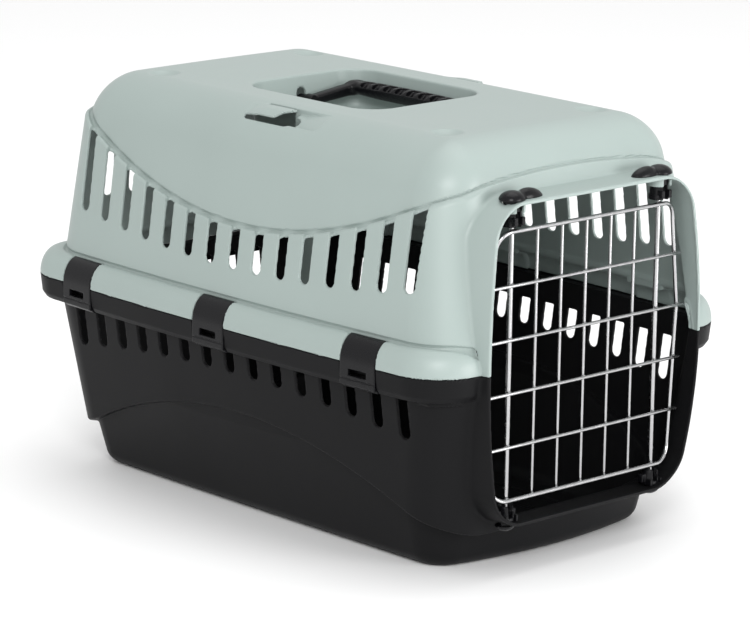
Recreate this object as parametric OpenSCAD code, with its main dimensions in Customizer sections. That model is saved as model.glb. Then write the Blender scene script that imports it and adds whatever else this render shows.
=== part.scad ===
// Pet transport carrier: two moulded shells held by six side clips, a wire door in the
// front bezel and a folding carry handle in the roof. The door faces -Y, +Z is up and the
// origin is the centre of the footprint on the ground.

/* [Overall] */
// Length over the door bezel and the rear flange
body_l = 480; // [470:1:490]
// Width over the flanges where the two shells meet
body_w = 320; // [312:1:328]
// Height of the roof above the ground
body_h = 313; // [309:1:318]
// Height of the plane where the two shells meet
part_z = 154; // [150:1:158]
// Wall thickness of both shells
wall_t = 2.6; // [2.2:0.1:3.2]

/* [Flange] */
// How far the flanges stand out from the walls
flange_out = 12.5; // [11.5:0.5:13.5]
// Height of the rounded upper flange
flange_up = 19.7; // [18:0.1:21]
// Height of the lower flange skirt
flange_down = 18; // [16:0.5:19]
// How much narrower the flange is at its ends than in its middle, each side
bow = 8; // [5:0.5:9]

/* [Vents] */
// Number of slots in each long side, in each shell
vents = 15; // [11:2:15]
// Distance between neighbouring slots
vent_pitch = 26; // [25:0.5:26.5]
// Width of a slot
vent_w = 8; // [6:0.5:9]
// Number of slots in the rear wall, in each shell
rear_vents = 7; // [3:2:7]

/* [Door] */
// Distance from the centre plane to each vertical door rod
rod_x = 75.4; // [74:0.2:77]
// Diameter of the two vertical door rods
rod_d = 4; // [3.6:0.1:4.2]
// Diameter of the wire round the door
frame_d = 3.2; // [2.8:0.1:3.4]
// Diameter of the bars and uprights of the door
bar_d = 2.4; // [2:0.1:2.6]
// Height of the bottom wire of the door
door_z0 = 55.5; // [55:0.5:57]
// Height of the top wire of the door
door_z1 = 252.7; // [251:0.1:253]

/* [Handle] */
// Reach from the pivot line to the middle of the grip
handle_reach = 47; // [44:1:48]
// Height of the pivot line
handle_z = 295; // [294:0.5:297]

/* [Clips] */
// Distance between neighbouring clips
clip_pitch = 160; // [156:1:162]
// Width of a clip
clip_w = 35; // [32:1:36]
// Thickness of a clip
clip_t = 3; // [2.6:0.1:3.2]

/* [Hidden] */

sage = [0.66, 0.73, 0.70];
charcoal = [0.22, 0.22, 0.23];
black = [0.10, 0.10, 0.11];
steel = [0.78, 0.78, 0.80];
$fn = 48;
cut = 1;

// Plan of the walls: half width in the middle, front and rear at the parting plane.
wall_hw = body_w / 2 - flange_out + 2.5;
front_y = -body_l / 2;
rear_y = body_l / 2;
wall_front = front_y + 9;
wall_rear = rear_y - flange_out + 2;
flange_front = front_y + 7;
front_r = 38;
rear_r = 46;

// Inward lean of each wall for every millimetre away from the parting plane.
up_side = 0.13;
up_front = 0.17;
up_rear = 0.07;
low_side = 0.138;
low_front = 0.14;

// Dome over the upper walls.
dome_hw = 118;
dome_front = -202;
dome_rear = 210;
dome_r = 43;
dome_edge = 30;
dome_lean = 0.33;
dome_base = part_z + 70;
dome_bow = 2;

// Foot under the lower walls.
foot_hw = 98;
foot_front = -197;
foot_rear = 188;
foot_r = 16;
foot_round = 7;
foot_top = 90;
foot_bow = 1;

// Door bezel.
sill_z = 37.3;
bezel_top = 273.5;
bezel_hw = 108.6;
bezel_sag = 0.00075;
bezel_back = -198;
pivot_y = front_y + 15;

// Door wires: rods and uprights at the back, bars and the top and bottom wires at the front.
bars = 4;
bar_pitch = (door_z1 - door_z0) / (bars + 1);
upright_pitch = 25;
weld_y = pivot_y - rod_d / 2;
bar_y = weld_y - bar_d / 2;
upright_y = weld_y + bar_d / 2;
frame_y = weld_y - frame_d / 2;
frame_side_y = weld_y + frame_d / 2;
door_wide_x = 98;
door_wide_z = 173;
door_top_x = 91;
door_low_x = 92.6;
rod_z0 = 43.5;
rod_z1 = 266;
rod_gap = 0.4;
barrel_d = 13.4;
foot_stem_d = 8.4;
foot_button = 4.5;

// Handle: ends of the arms, sections, pivot pins, and pockets in the top of the grip.
grip_y0 = -57;
grip_y1 = 80;
arm_w = 9;
arm_h = 8;
grip_w = 16;
grip_h = 13;
handle_mid = (grip_y0 + grip_y1) / 2;
handle_pin_d = 8;
pin_l = 6;
handle_bend = 18;
pockets = 8;
pocket_pitch = 13;
clip_mid_y = 6;
hinge_in = 6;
hinge_r = 4;
pin_d = 3.2;
gap = 0.4;
hinge_z = part_z - 15;

// ---------------------------------------------------------------- outlines and lofts
function arc(cx, cy, r, a0, a1, n) =
    [for (i = [0:n]) [cx + r * cos(a0 + (a1 - a0) * i / n), cy + r * sin(a0 + (a1 - a0) * i / n)]];

// Half width at y of a long side that is bowed outwards between its two ends.
function side_x(hw, yf, yr, sag, y) = hw - sag * pow((2 * y - yf - yr) / (yr - yf), 2);

// Closed plan outline, counter-clockwise: bowed long sides and four rounded corners.
function plan(hw, yf, yr, rf, rr, sag, ns = 6, nc = 6) =
    let (xf = side_x(hw, yf, yr, sag, yf + rf), xr = side_x(hw, yf, yr, sag, yr - rr))
    let (ys = [for (i = [1:ns - 1]) yf + rf + (yr - rr - yf - rf) * i / ns])
    concat(
        arc(xr - rr, yr - rr, rr, 0, 90, nc),
        arc(rr - xr, yr - rr, rr, 90, 180, nc),
        [for (i = [ns - 2:-1:0]) [-side_x(hw, yf, yr, sag, ys[i]), ys[i]]],
        arc(rf - xf, yf + rf, rf, 180, 270, nc),
        arc(xf - rf, yf + rf, rf, 270, 360, nc),
        [for (y = ys) [side_x(hw, yf, yr, sag, y), y]]
    );

function at_z(outline, z) = [for (p = outline) [p[0], p[1], z]];

// Solid through a stack of outlines that all have the same number of points.
module loft(rings) {
    n = len(rings[0]);
    m = len(rings);
    points = [for (ring = rings) each ring];
    sides = [for (j = [0:m - 2], i = [0:n - 1])
        [j * n + i, (j + 1) * n + i, (j + 1) * n + (i + 1) % n, j * n + (i + 1) % n]];
    polyhedron(
        points = points,
        faces = concat([[for (i = [0:n - 1]) i]], sides, [[for (i = [n - 1:-1:0]) (m - 1) * n + i]]),
        convexity = 6
    );
}

// ---------------------------------------------------------------- shell forms
// Lower edge of the dome, which hangs lowest in the middle of the long sides.
function swag(y) = min(285, 229 + 0.0013 * pow(y + 4, 2));

// Upper edge of the foot on the long sides, which stands highest in the middle.
function arch(y) = max(39, 86 - 0.00135 * pow(y + 5, 2));

// Everything below the dome's lower edge, right across the body.
module below_swag(inset) {
    ys = [for (i = [-8:8]) i * 32];
    rotate([90, 0, 90])
        linear_extrude(body_w + 20, center = true)
            polygon(concat([for (y = ys) [y, swag(y) - inset]], [[256, part_z - 20], [-256, part_z - 20]]));
}

// Everything above the foot's upper edge, right across the body.
module above_arch(inset) {
    ys = [for (i = [-9:9]) i * 28];
    rotate([90, 0, 90])
        linear_extrude(body_w + 20, center = true)
            polygon(concat([for (y = ys) [y, arch(y) + inset]], [[252, part_z + 20], [-252, part_z + 20]]));
}

function upper_wall(z, inset) = at_z(plan(
    wall_hw - up_side * (z - part_z) - inset,
    wall_front + up_front * (z - part_z) + inset,
    wall_rear - up_rear * (z - part_z) - inset,
    front_r - inset, rear_r - inset, bow), z);

function dome_ring(z, inset, edge) = at_z(plan(
    dome_hw + dome_lean * max(0, body_h - dome_edge - z) - edge - inset,
    dome_front - 0.2 * max(0, body_h - dome_edge - z) + edge + inset,
    dome_rear + 0.2 * max(0, body_h - dome_edge - z) - edge - inset,
    dome_r - edge * 0.5 - inset, dome_r - edge * 0.5 - inset, dome_bow), z - inset);

module upper_form(inset) {
    low = inset > 0 ? part_z - cut : part_z;
    intersection() {
        loft([upper_wall(low, inset), upper_wall(body_h, inset)]);
        below_swag(inset);
    }
    intersection() {
        loft(concat(
            [dome_ring(dome_base, inset, 0)],
            [for (a = [0:18:90]) dome_ring(
                body_h - dome_edge * (1 - sin(a)), inset, dome_edge * (1 - cos(a)))]
        ));
        loft([upper_wall(dome_base - 10, inset + 2), upper_wall(body_h + 5, inset + 2)]);
    }
}

function lower_wall(z, inset) = at_z(plan(
    wall_hw - low_side * (part_z - z) - inset,
    wall_front + low_front * (part_z - z) + inset,
    wall_rear - low_side * (part_z - z) - inset,
    front_r - inset, rear_r - inset, bow), z);

function foot_ring(z, inset, edge) = at_z(plan(
    foot_hw + 0.48 * z - edge - inset,
    foot_front - 0.25 * z + edge + inset,
    foot_rear + 0.3 * z - edge - inset,
    foot_r + 0.2 * z - edge * 0.5 - inset * 0.6, foot_r + 0.2 * z - edge * 0.5 - inset * 0.6,
    foot_bow + 0.1 * z), z + inset);

module lower_form(inset) {
    high = inset > 0 ? part_z + cut : part_z;
    intersection() {
        loft([lower_wall(0, inset), lower_wall(high, inset)]);
        above_arch(inset);
    }
    intersection() {
        loft(concat(
            [for (a = [0:30:90]) foot_ring(
                foot_round * (1 - cos(a)), inset, foot_round * (1 - sin(a)))],
            [foot_ring(foot_top, inset, 0)]
        ));
        loft([lower_wall(-1, inset + 2), lower_wall(foot_top + 10, inset + 2)]);
    }
}

// ---------------------------------------------------------------- flange
function flange_plan(out, z) = at_z(plan(
    body_w / 2 - out,
    flange_front + min(out, 6),
    rear_y - out,
    front_r, rear_r, bow), z);

module upper_flange_form(inset) {
    loft([for (a = [0:15:90]) flange_plan(
        inset + (flange_out + 1) * (1 - cos(a)), part_z + (flange_up - inset) * sin(a) - (inset > 0 ? cut : 0))]);
}

module lower_flange_form(inset) {
    low = part_z - flange_down;
    loft([
        flange_plan(4 + inset, low - (inset > 0 ? cut : 0)),
        flange_plan(1.6 + inset, low + 4),
        flange_plan(inset, part_z - (inset > 0 ? wall_t : 0))
    ]);
}

// ---------------------------------------------------------------- bezel round the door
function bezel_x(z) = bezel_hw - bezel_sag * pow(z - part_z, 2);

// Outline of the bezel seen from the front, as [x, z]: grown all round, and then on its sides only.
function bezel_outline(grow, sides, n = 6) =
    let (rt = 34 + grow, rb = 28 + grow)
    let (zt = bezel_top + grow - rt, zb = sill_z - grow + rb)
    let (xt = bezel_x(zt) + grow + sides - rt, xb = bezel_x(zb) + grow + sides - rb)
    let (zs = [for (i = [1:n - 1]) zb + (zt - zb) * i / n])
    concat(
        arc(xt, zt, rt, 0, 90, n),
        arc(-xt, zt, rt, 90, 180, n),
        [for (i = [n - 2:-1:0]) [-bezel_x(zs[i]) - grow - sides, zs[i]]],
        arc(-xb, zb, rb, 180, 270, n),
        arc(xb, zb, rb, 270, 360, n),
        [for (z = zs) [bezel_x(z) + grow + sides, z]]
    );

function at_y(outline, y) = [for (i = [len(outline) - 1:-1:0]) [outline[i][0], y, outline[i][1]]];

module bezel_form(grow, flare, y0) {
    loft([at_y(bezel_outline(grow, 0), y0), at_y(bezel_outline(grow, flare), bezel_back)]);
}

module half_space(up) {
    translate([0, 0, part_z + (up ? 250 : -250)])
        cube([body_w + 40, body_l + 40, 500], center = true);
}

// ---------------------------------------------------------------- vents
// A slot in a vertical plane, round at the bottom and cut on a slant at the top.
module slot_2d(z0, z1, slant) {
    r = vent_w / 2;
    polygon(concat(
        arc(0, z0 + r, r, 180, 360, 8),
        [[r, z1 + slant * r], [-r, z1 - slant * r]]
    ));
}

module side_vents(up) {
    for (i = [0:vents - 1]) {
        y = -4 + (i - (vents - 1) / 2) * vent_pitch;
        d = y + 4;
        low = up ? 195.5 + 0.0004 * d * d : 117 - 0.00043 * d * d;
        high = up ? swag(y) - 2 : part_z - flange_down - 2;
        translate([0, y, 0])
            rotate([90, 0, 90])
                linear_extrude(body_w + 20, center = true)
                    slot_2d(low, high, up ? 0.0026 * d : 0);
    }
}

module rear_vents(up) {
    for (i = [0:rear_vents - 1]) {
        x = (i - (rear_vents - 1) / 2) * vent_pitch;
        translate([x, rear_y, 0])
            rotate([90, 0, 0])
                linear_extrude(75)
                    slot_2d(up ? 206 : 100, up ? 262 : part_z - flange_down - 2, 0);
    }
}

// ---------------------------------------------------------------- roof recess and belt hooks
function recess_ring(z, grow) =
    let (d = (body_h - z) * 0.14)
    at_z(plan(61.5 - d + grow, -62 + d - grow, 85 - d + grow, 24 - d + grow, 24 - d + grow, 1, 2), z);

module recess_form(grow) {
    loft([recess_ring(280 - grow, grow), recess_ring(body_h + (grow > 0 ? 0 : cut), grow)]);
}

module belt_slots() {
    for (s = [-1, 1])
        translate([s * 104, -9, 304])
            rotate([0, s * 48, 0])
                cube([9, 58, 30], center = true);
}

// ---------------------------------------------------------------- clips
// Angle of the bowed flange at a clip, and the clip's place on it.
function clip_y(k) = clip_mid_y + k * clip_pitch;
function flange_x(y) = side_x(body_w / 2, flange_front, rear_y, bow, y);
function flange_turn(y) = atan((flange_x(y + 5) - flange_x(y - 5)) / 10);

// Puts a clip's own frame on the flange: +X outwards from the flange face, Z absolute.
module at_clip(side, k) {
    y = clip_y(k);
    mirror([side > 0 ? 0 : 1, 0, 0])
        translate([flange_x(y), y, 0])
            rotate([0, 0, -flange_turn(y)])
                children();
}

// Profile of the flange from the crease at the wall over to the skirt, starting at angle a0.
function clip_curve(inset, a0, n = 6) = [for (i = [0:n])
    let (a = a0 * (1 - i / n))
    [-inset - (flange_out + 1 - inset) * (1 - cos(a)), part_z + (flange_up - inset) * sin(a)]];

module clip_profile() {
    outside = clip_curve(0, 82);
    inside = clip_curve(clip_t, 80);
    polygon(concat(outside, [[0, hinge_z], [-clip_t, hinge_z]], [for (i = [6:-1:0]) inside[i]]));
    translate([-hinge_in, hinge_z])
        circle(r = hinge_r);
}

module clip() {
    color(black) {
        difference() {
            rotate([90, 0, 0])
                linear_extrude(clip_w, center = true)
                    clip_profile();
            translate([-clip_t, 0, part_z - 6.5])
                cube([clip_t * 3, 18, 5], center = true);
        }
        translate([-hinge_in, 0, hinge_z])
            rotate([90, 0, 0])
                cylinder(d = pin_d, h = clip_w + 6, center = true);
    }
}

// Room for a clip in the two flanges.
module clip_notch() {
    w = clip_w + 2 * gap;
    rotate([90, 0, 0])
        linear_extrude(w, center = true)
            polygon(concat(
                clip_curve(clip_t + gap, 90),
                [[-clip_t - gap, hinge_z], [-clip_t - gap, part_z - 25], [10, part_z - 25],
                 [10, part_z + 30], [-flange_out, part_z + 30]]));
    translate([-hinge_in, 0, hinge_z])
        rotate([90, 0, 0])
            cylinder(r = hinge_r + gap, h = w, center = true);
    translate([-hinge_in, 0, hinge_z])
        rotate([90, 0, 0])
            cylinder(d = pin_d + 2 * gap, h = clip_w + 8.2, center = true);
}

module clip_blocks() {
    for (side = [-1, 1], k = [-1:1])
        at_clip(side, k)
            translate([-10, 0, part_z])
                cube([24, clip_w + 8, 60], center = true);
}

module clip_notches() {
    for (side = [-1, 1], k = [-1:1])
        at_clip(side, k)
            clip_notch();
}

// ---------------------------------------------------------------- shells
module lower_flange() {
    difference() {
        lower_flange_form(0);
        difference() {
            lower_flange_form(wall_t);
            clip_blocks();
        }
    }
}

module upper_flange() {
    difference() {
        upper_flange_form(0);
        difference() {
            upper_flange_form(wall_t);
            clip_blocks();
        }
    }
}

module knob_bosses() {
    for (s = [-1, 1])
        translate([s * rod_x, pivot_y, bezel_top - 6])
            cylinder(d = barrel_d + 5.6, h = 6);
}

// Bore for a door foot's stem and the flat round its barrel.
module foot_seat(side) {
    translate([side * rod_x, pivot_y, sill_z - 5])
        cylinder(d = foot_stem_d + 0.6, h = 12);
    translate([side * rod_x, pivot_y, sill_z + wall_t])
        cylinder(d = barrel_d + 1.6, h = 6);
}

module lower_shell() {
    color(charcoal)
        difference() {
            union() {
                lower_form(0);
                lower_flange();
                intersection() {
                    bezel_form(0, 6, front_y);
                    half_space(false);
                }
            }
            lower_form(wall_t);
            bezel_form(-wall_t, 6, front_y - cut);
            side_vents(false);
            rear_vents(false);
            clip_notches();
            for (s = [-1, 1])
                foot_seat(s);
        }
    color(charcoal)
        for (i = [-3:3])
            translate([i * 26 - 1.5, -160, wall_t - 0.1])
                cube([3, 320, 1.6]);
}

module upper_shell() {
    color(sage)
        difference() {
            union() {
                difference() {
                    union() {
                        upper_form(0);
                        upper_flange();
                        intersection() {
                            bezel_form(0, 4, front_y);
                            half_space(true);
                        }
                    }
                    difference() {
                        union() {
                            upper_form(wall_t);
                            bezel_form(-wall_t, 4, front_y - cut);
                        }
                        recess_form(wall_t);
                        knob_bosses();
                    }
                }
                knob_bosses();
            }
            recess_form(0);
            side_vents(true);
            rear_vents(true);
            clip_notches();
            belt_slots();
            for (s = [-1, 1])
                translate([s * rod_x, pivot_y, bezel_top - 12])
                    cylinder(d = barrel_d + 0.6, h = 20);
            translate([0, handle_mid, handle_z])
                rotate([90, 0, 0])
                    cylinder(d = handle_pin_d + 2 * gap, h = grip_y1 - grip_y0 + 24, center = true);
            for (p = [[-74, -156], [74, -156], [-75, 158], [75, 158]])
                translate([p[0], p[1], body_h - 1.2])
                    cylinder(d = 26, h = 3);
        }
}

// ---------------------------------------------------------------- wire door
function unit(v) = v / norm(v);

// Closed loop of round wire through the given points, which lie near one XZ plane.
module wire_loop(path, d, n = 12) {
    m = len(path);
    points = [for (i = [0:m - 1])
        let (t = unit(path[(i + 1) % m] - path[(i + m - 1) % m]))
        let (u = unit(cross(t, [0, 1, 0])), v = cross(u, t))
        each [for (k = [0:n - 1]) path[i] + d / 2 * (cos(360 * k / n) * u + sin(360 * k / n) * v)]];
    polyhedron(
        points = points,
        faces = [for (i = [0:m - 1], k = [0:n - 1])
            [i * n + k, i * n + (k + 1) % n, ((i + 1) % m) * n + (k + 1) % n, ((i + 1) % m) * n + k]],
        convexity = 6
    );
}

// Half width of the door frame at height z: widest where the two shells meet.
function frame_x(z) = z > door_wide_z
    ? door_wide_x + (door_top_x - door_wide_x) * (z - door_wide_z) / (door_z1 - 13 - door_wide_z)
    : door_wide_x + (door_low_x - door_wide_x) * (door_wide_z - z) / (door_wide_z - door_z0 - 14);

function frame_corner(cx, cz, r, a0, a1, y0, y1, n = 5) = [for (i = [0:n])
    let (a = a0 + (a1 - a0) * i / n, s = (1 - cos(180 * i / n)) / 2)
    [cx + r * cos(a), y0 + (y1 - y0) * s, cz + r * sin(a)]];

module door_frame() {
    rt = 13;
    rb = 14;
    xt = door_top_x - rt;
    xb = door_low_x - rb;
    color(steel)
        wire_loop(concat(
            frame_corner(xt, door_z1 - rt, rt, 90, 0, frame_y, frame_side_y),
            [[door_wide_x, frame_side_y, door_wide_z]],
            frame_corner(xb, door_z0 + rb, rb, 0, -90, frame_side_y, frame_y),
            frame_corner(-xb, door_z0 + rb, rb, -90, -180, frame_y, frame_side_y),
            [[-door_wide_x, frame_side_y, door_wide_z]],
            frame_corner(-xt, door_z1 - rt, rt, 180, 90, frame_side_y, frame_y)
        ), frame_d);
}

module door_bar(i) {
    z = door_z0 + i * bar_pitch;
    color(steel)
        translate([0, bar_y, z])
            rotate([0, 90, 0])
                cylinder(d = bar_d, h = 2 * frame_x(z) + 8, center = true);
}

module door_upright(i) {
    color(steel)
        translate([(i - 3) * upright_pitch, upright_y, door_z0 - 1])
            cylinder(d = bar_d, h = door_z1 - door_z0 + 2);
}

module door_rod(side) {
    color(steel)
        translate([side * rod_x, pivot_y, rod_z0])
            cylinder(d = rod_d, h = rod_z1 - rod_z0);
}

// Bore for a rod, open to the front so that the rod can leave.
module rod_slot(z0, z1) {
    w = rod_d + 2 * rod_gap;
    translate([0, 0, z0])
        cylinder(d = w, h = z1 - z0);
    translate([-w / 2, -barrel_d, z0])
        cube([w, barrel_d, z1 - z0]);
}

// Turning knob on the bezel: a round lobe over the rod, a long lobe towards the middle.
module door_knob(side) {
    cap_z = bezel_top + 0.5;
    color(black)
        translate([side * rod_x, pivot_y, 0])
            mirror([side > 0 ? 1 : 0, 0, 0])
                difference() {
                    union() {
                        translate([0, 0, 256])
                            cylinder(d = barrel_d, h = cap_z + 3 - 256);
                        translate([0, 0, cap_z])
                            rotate_extrude()
                                polygon(concat([[0, 0], [11, 0]], arc(4, 2.5, 7.5, 0, 90, 6), [[0, 10]]));
                        translate([0, 0, cap_z])
                            hull() {
                                translate([8, 0, 0])
                                    cylinder(r1 = 6.5, r2 = 4.5, h = 8.5, $fn = 32);
                                translate([16, 0, 0])
                                    cylinder(r1 = 6.5, r2 = 3.5, h = 8.5, $fn = 32);
                                translate([25, -1, 0])
                                    cylinder(r1 = 4.5, r2 = 3, h = 3, $fn = 32);
                            }
                    }
                    rod_slot(255, rod_z1 + 1);
                }
}

// Socket for the lower end of a rod, clipped through the sill.
module door_foot(side) {
    floor_z = sill_z + wall_t;
    color(black)
        translate([side * rod_x, pivot_y, 0])
            difference() {
                union() {
                    translate([0, 0, floor_z])
                        cylinder(d = barrel_d, h = 12);
                    translate([0, 1, floor_z + 5.2])
                        cube([19, 5, 6], center = true);
                    translate([0, 0, sill_z - 1])
                        cylinder(d = foot_stem_d, h = wall_t + 2);
                    translate([0, 0, sill_z - foot_button])
                        cylinder(d1 = 11, d2 = 14, h = foot_button - 0.1);
                }
                rod_slot(rod_z0 - 0.5, 60);
            }
}

// ---------------------------------------------------------------- carry handle
module grip_section() {
    offset(r = 5, $fn = 24)
        square([grip_w - 10, grip_h - 10], center = true);
}

// Plan of the handle, with its two bends.
module handle_outline() {
    x = handle_reach + grip_w / 2 - handle_bend;
    polygon(concat(
        [[-8, grip_y0]],
        arc(x, grip_y0 + handle_bend, handle_bend, 270, 360, 6),
        arc(x, grip_y1 - handle_bend, handle_bend, 0, 90, 6),
        [[-8, grip_y1]]
    ));
}

module handle_arm(y) {
    translate([0, y, handle_z])
        rotate([-90, 0, 0])
            cylinder(d = 10, h = arm_w);
    translate([0, y, handle_z - arm_h / 2])
        cube([handle_reach, arm_w, arm_h]);
}

module carry_handle() {
    grip_z = handle_z - 2.5;
    color(black)
        difference() {
            union() {
                intersection() {
                    union() {
                        handle_arm(grip_y0);
                        handle_arm(grip_y1 - arm_w);
                        translate([handle_reach, grip_y1 + cut, grip_z])
                            rotate([90, 0, 0])
                                linear_extrude(grip_y1 - grip_y0 + 2 * cut)
                                    grip_section();
                    }
                    translate([0, 0, handle_z - 20])
                        linear_extrude(40)
                            handle_outline();
                }
                translate([0, grip_y1 + pin_l, handle_z])
                    rotate([90, 0, 0])
                        cylinder(d = handle_pin_d, h = arm_w + pin_l);
                translate([0, grip_y0 - pin_l, handle_z])
                    rotate([-90, 0, 0])
                        cylinder(d = handle_pin_d, h = arm_w + pin_l);
            }
            for (i = [0:pockets - 1])
                translate([handle_reach, handle_mid + (i - (pockets - 1) / 2) * pocket_pitch, grip_z + grip_h / 2])
                    cube([10, 9, 4], center = true);
        }
}

lower_shell();
upper_shell();
carry_handle();
door_frame();
door_bar(1);  // door_bar_1
door_bar(2);  // door_bar_2
door_bar(3);  // door_bar_3
door_bar(4);  // door_bar_4
door_upright(1);  // door_upright_1
door_upright(2);  // door_upright_2
door_upright(3);  // door_upright_3
door_upright(4);  // door_upright_4
door_upright(5);  // door_upright_5
door_rod(-1);  // door_rod_left
door_rod(1);  // door_rod_right
door_knob(-1);  // door_knob_left
door_knob(1);  // door_knob_right
door_foot(-1);  // door_foot_left
door_foot(1);  // door_foot_right
at_clip(-1, -1) clip();  // clip_left_front
at_clip(-1, 0) clip();  // clip_left_middle
at_clip(-1, 1) clip();  // clip_left_rear
at_clip(1, -1) clip();  // clip_right_front
at_clip(1, 0) clip();  // clip_right_middle
at_clip(1, 1) clip();  // clip_right_rear
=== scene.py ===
import math

import bmesh
import bpy
import numpy as np
import openvdb
from mathutils import Matrix, Vector


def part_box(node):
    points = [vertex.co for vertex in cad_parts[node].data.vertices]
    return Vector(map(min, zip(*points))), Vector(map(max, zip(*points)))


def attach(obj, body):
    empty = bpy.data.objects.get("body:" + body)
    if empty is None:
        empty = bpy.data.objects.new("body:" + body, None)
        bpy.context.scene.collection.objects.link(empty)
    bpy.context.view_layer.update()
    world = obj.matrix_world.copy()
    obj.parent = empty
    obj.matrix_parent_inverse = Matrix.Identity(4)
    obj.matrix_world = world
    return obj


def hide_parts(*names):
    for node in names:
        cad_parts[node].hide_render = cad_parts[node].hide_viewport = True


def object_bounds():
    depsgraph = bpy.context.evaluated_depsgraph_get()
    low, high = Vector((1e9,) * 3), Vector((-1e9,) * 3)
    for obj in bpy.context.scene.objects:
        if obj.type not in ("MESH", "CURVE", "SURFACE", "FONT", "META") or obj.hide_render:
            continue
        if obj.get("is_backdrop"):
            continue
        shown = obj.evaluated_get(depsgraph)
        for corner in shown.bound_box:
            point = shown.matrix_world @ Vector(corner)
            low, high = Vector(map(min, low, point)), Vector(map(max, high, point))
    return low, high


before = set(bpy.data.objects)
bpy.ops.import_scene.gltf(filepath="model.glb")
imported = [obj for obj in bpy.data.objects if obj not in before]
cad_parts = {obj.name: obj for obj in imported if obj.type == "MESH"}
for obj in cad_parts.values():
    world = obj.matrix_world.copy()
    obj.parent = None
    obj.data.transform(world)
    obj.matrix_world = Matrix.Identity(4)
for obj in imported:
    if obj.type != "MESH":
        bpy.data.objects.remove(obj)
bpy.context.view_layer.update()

MM = 0.001
SHELL_STEP, SHELL_BOX = 1.2, (164, 244)
COARSER = 1.0
MOST_TRIANGLES = 188000

# ------------------------------------------------------------------ sizes in millimetres
# The CAD box gives the overall size, and the rest follows the CAD model's dimensions.
LOW, HIGH = (np.array(corner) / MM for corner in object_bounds())
FRONT, REAR, ROOF = LOW[1], HIGH[1], HIGH[2]
HALF_WIDTH = HIGH[0]
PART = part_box("upper_shell")[0][2] / MM
WALL = 2.6

# Walls at the parting plane, their lean per mm of height, and the flange round them.
WALL_HALF = HALF_WIDTH - 10.0
WALL_FRONT, WALL_REAR = FRONT + 9.0, REAR - 10.5
UPPER_SIDE_LEAN, UPPER_FRONT_LEAN, UPPER_REAR_LEAN = 0.13, 0.17, 0.07
LOWER_SIDE_LEAN, LOWER_FRONT_LEAN, LOWER_REAR_LEAN = 0.138, 0.14, 0.138
BOW = 8.0
FRONT_R, REAR_R = 38.0, 46.0
FLANGE_OUT, FLANGE_UP, FLANGE_DOWN = 13.5, 19.7, 18.0
FLANGE_FRONT = FRONT + 7.0
FLANGE_REAR_R, TUB_REAR_R = REAR_R - 8, REAR_R - 9

# Foot under the tub, with an arched step over it on the long sides.
FOOT_HALF, FOOT_FRONT, FOOT_REAR, FOOT_R, FOOT_EDGE = 109.5, -203.0, 197.0, 20.0, 10.0
STEP_Y, STEP_TOP, STEP_FALL = -5.0, 86.0, 0.00135
CREASE_Z, CREASE_RISE = 13.0, 0.0015

# Dome, and the ledge under it, which hangs on the long sides and arches over the ends.
DOME_Z, DOME_HALF, DOME_FRONT, DOME_REAR, DOME_EDGE = 283.0, 122.0, -205.0, 214.0, 31.0
DOME_FRONT_R, DOME_REAR_R, ROOF_CROWN = 33.0, 37.0, 0.00006
SWAG_Y, SWAG_LOW, SWAG_RISE, SWAG_END = -4.0, 227.4, 0.0013, 281.5
ARCH_HALF, ARCH_RISE, COVE_RISE = 104.0, 8.0, 6.0

# Slots in the long sides and the rear. Those on the right sit lower and further back.
VENT_PITCH, VENT_R, VENTS, END_VENTS = 26.0, 5.2, 7, 3
VENT_Y, FAR_DROP, FAR_UPPER, FAR_LOWER = -3.0, 2.8, 3.4, 6.6
UPPER_VENT_LOW, UPPER_VENT_RISE = 195.5, 0.0004
LOWER_VENT_LOW, LOWER_VENT_FALL = 117.0, 0.00043
END_UPPER_LOW, END_UPPER_TOP, END_LOWER_LOW = 206, 262, 100

CLIP_Y, CLIP_PITCH, CLIP_W, CLIP_T, CLIP_GAP = 6.0, 160.0, 35.0, 3.0, 0.35
BEZEL_HALF, BEZEL_TOP, SILL = 109.4, 274.8, 37.3
BEZEL_FLARE, DOORWAY_FLARE, BEZEL_REAR, BEZEL_LEAN = 0.16, 0.12, -196, 0.00028
ROD_X, PIVOT_Y = 75.4, FRONT + 15.0
RECESS_HALF, RECESS_Y0, RECESS_Y1, RECESS_R, RECESS_FLOOR = 61.5, -62.0, 85.0, 24.0, 280.0
HANDLE_MID, HANDLE_Z, PIVOT_SPAN = 11.5, 295.0, 85
DISHES, DISH_R, DISH_DEEP = ((74, -156), (75, 158)), 23.0, 4.0
HOOK_X, HOOK_Z, HOOK_R = 91.0, ROOF - 25, 28


# ------------------------------------------------------------------ distance fields
def smin(a, b, k):
    """Smooth union of two fields, with a fillet of about k."""
    h = np.clip(0.5 + 0.5 * (b - a) / k, 0, 1)
    return b + (a - b) * h - k * h * (1 - h)


def smax(a, b, k):
    """Smooth intersection of two fields."""
    return -smin(-a, -b, k)


def rmax(a, b, r):
    """Intersection of two fields with an edge of radius r."""
    return np.minimum(np.maximum(a, b), -r) + np.hypot(np.maximum(a + r, 0), np.maximum(b + r, 0))


def box2(u, v, hu, hv, r):
    """Rectangle of half sizes hu and hv with corners of radius r."""
    return rmax(np.abs(u) - hu, np.abs(v) - hv, r)


def plan(x, y, half, front, rear, rf, rr, bow):
    """Plan outline: bowed long sides, straight ends and four rounded corners."""
    half = half - bow * ((2 * y - front - rear) / (rear - front)) ** 2
    fore = y < (front + rear) / 2
    r = np.where(fore, rf, rr)
    return rmax(np.abs(x) - half, np.where(fore, front - y, y - rear), r)


def far_drop(x):
    """How much lower the slots sit in the right-hand wall."""
    return np.where(x > 0, FAR_DROP, 0.0)


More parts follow.
